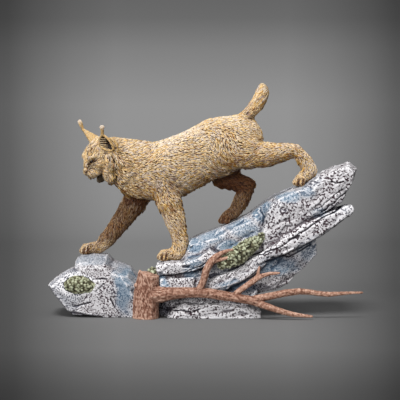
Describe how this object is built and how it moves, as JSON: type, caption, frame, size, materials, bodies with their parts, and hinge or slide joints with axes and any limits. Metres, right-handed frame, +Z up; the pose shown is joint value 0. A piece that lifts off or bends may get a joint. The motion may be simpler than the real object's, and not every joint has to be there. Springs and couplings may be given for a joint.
{
  "type": "lynx statuette",
  "caption": "Painted cast statuette of a tuft-eared wild cat stepping down an inclined rock slab, with a broken stump, a dead branch and moss at its foot.",
  "frame": {"origin": "middle of the bounding box in X and Y, at the level of the flat base that the statuette stands on", "axes": "+X from the head towards the tail and the high end of the slab; +Y towards the animal's right side, away from the side with the stump and branch; +Z up"},
  "size_m": [0.3086, 0.0946, 0.2309],
  "materials": {
    "coat": "cast resin painted in ochre and cream with dark brown recesses",
    "nose": "cast resin painted brown",
    "eye": "cast resin painted near black",
    "rock": "cast resin painted as grey stone with white edges, dark pits and blue-grey washes",
    "wood": "cast resin painted as reddish brown dead wood",
    "moss": "cast resin painted as grey-green moss"
  },
  "bodies": {
    "root": {"head": "coat", "jaw": "coat", "nose": "nose", "eye_left": "eye", "eye_right": "eye", "ear_left": "coat", "ear_right": "coat", "neck": "coat", "torso": "coat", "tail": "coat", "foreleg_left": "coat", "forepaw_left": "coat", "foreleg_right": "coat", "forepaw_right": "coat", "thigh_left": "coat", "shank_left": "coat", "hindpaw_left": "coat", "thigh_right": "coat", "shank_right": "coat", "hindpaw_right": "coat", "rock_front": "rock", "rock_slab": "rock", "rock_foot": "rock", "stump": "wood", "branch_main": "wood", "branch_long": "wood", "branch_low": "wood", "branch_upper": "wood", "branch_middle": "wood", "moss_front": "moss", "moss_slab": "moss", "moss_back": "moss"}
  },
  "joints": []
}
